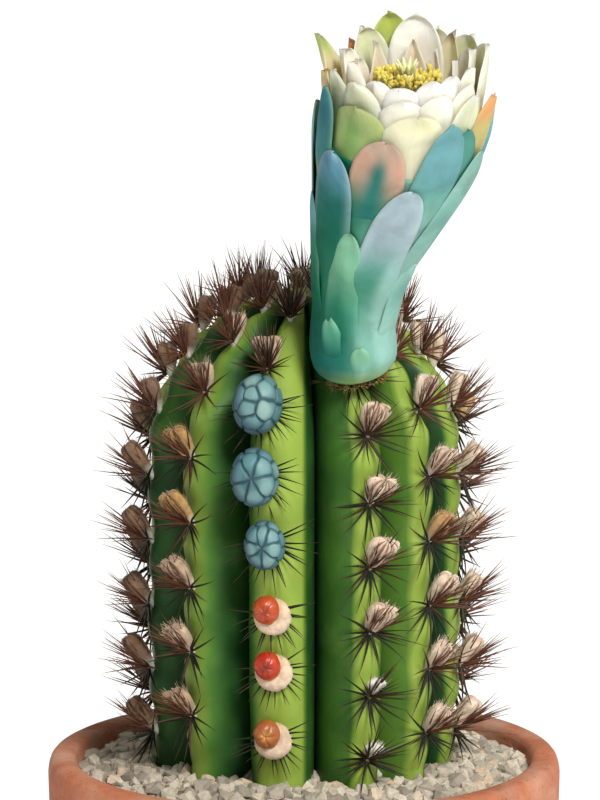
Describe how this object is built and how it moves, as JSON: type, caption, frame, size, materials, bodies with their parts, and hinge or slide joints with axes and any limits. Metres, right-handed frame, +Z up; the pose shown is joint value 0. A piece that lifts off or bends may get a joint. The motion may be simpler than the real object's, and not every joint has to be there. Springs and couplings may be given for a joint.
{
  "type": "potted flowering columnar cactus",
  "caption": "Ribbed columnar cactus in a plain clay pot, with woolly spiny areoles, a row of buds on one rib and a large scaly cream flower at its shoulder.",
  "frame": {"origin": "centre of the pot's foot, on the surface it stands on", "axes": "+Z up through the pot and the stem; -Y is the side of the stem with the buds and the flower, and +X is on the right of someone who faces that side"},
  "size_m": [0.0836, 0.0845, 0.1974],
  "materials": {
    "clay": "matte fired terracotta with pale lime bloom",
    "soil": "dark, crumbly and dry",
    "grit": "matte pale crushed stone",
    "cactus_skin": "satin waxy plant skin, yellow green on the crests and dark green in the furrows",
    "areole_wool": "matte cream and tan wool",
    "spines": "satin reddish brown, nearly black over the skin",
    "flower_scales": "satin teal with pale blue tips",
    "outer_petals": "satin green to cream with brown tips",
    "inner_petals": "satin translucent cream",
    "anthers": "matte pollen yellow on cream threads",
    "stigma": "satin pale green cream",
    "bud_scales": "matte blue green with dark joints",
    "young_bud": "satin orange red"
  },
  "bodies": {
    "root": {"pot": "clay", "soil": "soil", "grit": "grit", "stem": "cactus_skin", "flower_tube": "flower_scales", "flower_outer_petals": "outer_petals", "flower_middle_petals": "inner_petals", "flower_inner_petals": "inner_petals", "flower_heart_petals": "inner_petals", "flower_stamens": "anthers", "flower_style": "stigma", "bud_1": "bud_scales", "bud_2": "bud_scales", "bud_3": "bud_scales", "young_bud_1": "young_bud", "young_bud_2": "young_bud", "young_bud_3": "young_bud"}
  },
  "joints": []
}
